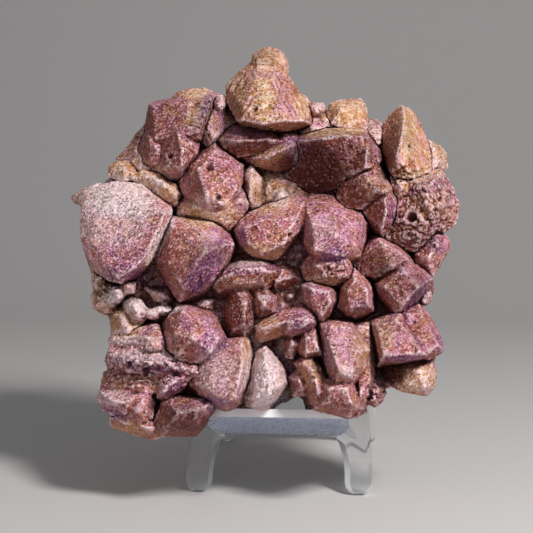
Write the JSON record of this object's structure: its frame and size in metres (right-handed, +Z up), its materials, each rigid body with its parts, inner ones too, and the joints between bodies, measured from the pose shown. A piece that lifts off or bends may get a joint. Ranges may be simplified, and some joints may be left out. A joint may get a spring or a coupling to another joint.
{
  "type": "crystal specimen on easel",
  "caption": "Blunt, blocky calcite crystals with a pitted rose and ochre coat, crowded on a rough plate of matrix that leans on a folded clear easel.",
  "frame": {"origin": "under the middle of the whole, on the surface that the easel stands on", "axes": "+Z up; the crystals face -Y; +X to the right as seen from the front"},
  "size_m": [0.1578, 0.1328, 0.1727],
  "materials": {
    "rose": "dull druse-coated calcite, dusty rose with purple edges and fine sparkle",
    "dark": "dull druse-coated calcite, dark wine red",
    "tan": "dull pitted calcite, ochre and tan",
    "rock": "rough dull rock",
    "clear": "clear acrylic sheet, polished faces, frosted cut edges, fine scratches"
  },
  "bodies": {
    "root": {"apex_crystal": "tan", "upper_dark_crystals": "dark", "upper_left_crystals": "rose", "upper_middle_crystals": "rose", "top_block": "tan", "upper_right_crystals": "dark", "right_tall_crystal": "tan", "right_porous_crystals": "rose", "right_edge_crystal": "rose", "right_middle_crystals": "rose", "right_lower_crystals": "rose", "lower_right_crystal": "rose", "left_shoulder_crystals": "tan", "left_blade_crystal": "rose", "left_centre_crystal": "rose", "centre_crystals": "rose", "inner_crystals": "dark", "five_sided_crystal": "rose", "small_centre_crystals": "rose", "right_inner_crystal": "rose", "lower_centre_crystals": "rose", "lower_middle_crystals": "rose", "lower_pale_crystal": "rose", "lower_left_crystals": "rose", "matrix": "rock", "easel": "clear"}
  },
  "joints": []
}
